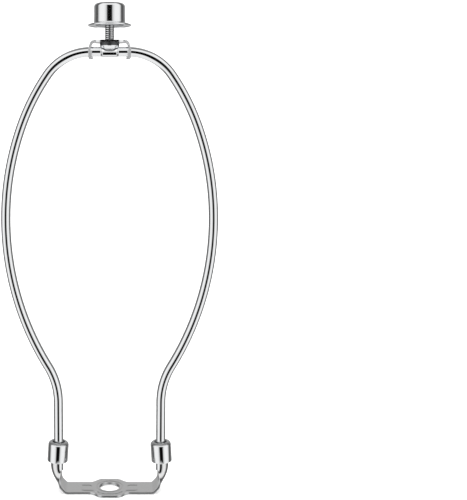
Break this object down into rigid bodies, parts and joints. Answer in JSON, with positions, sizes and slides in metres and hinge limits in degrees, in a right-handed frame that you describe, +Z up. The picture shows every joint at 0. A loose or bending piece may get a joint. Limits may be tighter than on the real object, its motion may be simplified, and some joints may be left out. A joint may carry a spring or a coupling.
{
  "type": "lamp harp",
  "caption": "Oval steel wire harp for a table lamp, on a stamped saddle with locking sleeves, with a shade clip, threaded stud and cap finial.",
  "frame": {"origin": "centre of the nipple hole, in the saddle's underside", "axes": "+Z up the harp to the finial, X across the harp through both legs, Y front to back"},
  "size_m": [0.1086, 0.0212, 0.2465],
  "materials": {
    "stamped_steel": "satin nickel plate on stamped steel",
    "chromed_wire": "bright chrome plate on drawn wire",
    "chromed_sleeve": "bright chrome plate on drawn steel",
    "chromed_clip": "bright chrome plate on stamped steel",
    "chromed_stud": "chrome plate on a rolled thread",
    "chromed_finial": "bright chrome plate on drawn steel",
    "plain_hub": "turned steel"
  },
  "bodies": {
    "saddle": {"saddle": "stamped_steel"},
    "harp": {"harp_wire": "chromed_wire", "top_clip": "chromed_clip", "stud": "chromed_stud"},
    "left_sleeve": {"sleeve_left": "chromed_sleeve"},
    "right_sleeve": {"sleeve_right": "chromed_sleeve"},
    "finial": {"finial_cap": "chromed_finial", "finial_hub": "plain_hub"}
  },
  "joints": [
    {"name": "harp_lift", "type": "slide", "parent": "saddle", "child": "harp", "axis": [0, 0, 1], "range_m": [0, 0.02]},
    {"name": "left_sleeve_slide", "type": "slide", "parent": "harp", "child": "left_sleeve", "axis": [0, 0, 1], "range_m": [0, 0.018]},
    {"name": "right_sleeve_slide", "type": "slide", "parent": "harp", "child": "right_sleeve", "axis": [0, 0, 1], "range_m": [0, 0.018]},
    {"name": "finial_screw", "type": "slide", "parent": "harp", "child": "finial", "axis": [0, 0, 1], "range_m": [-0.0064, 0.006]}
  ]
}
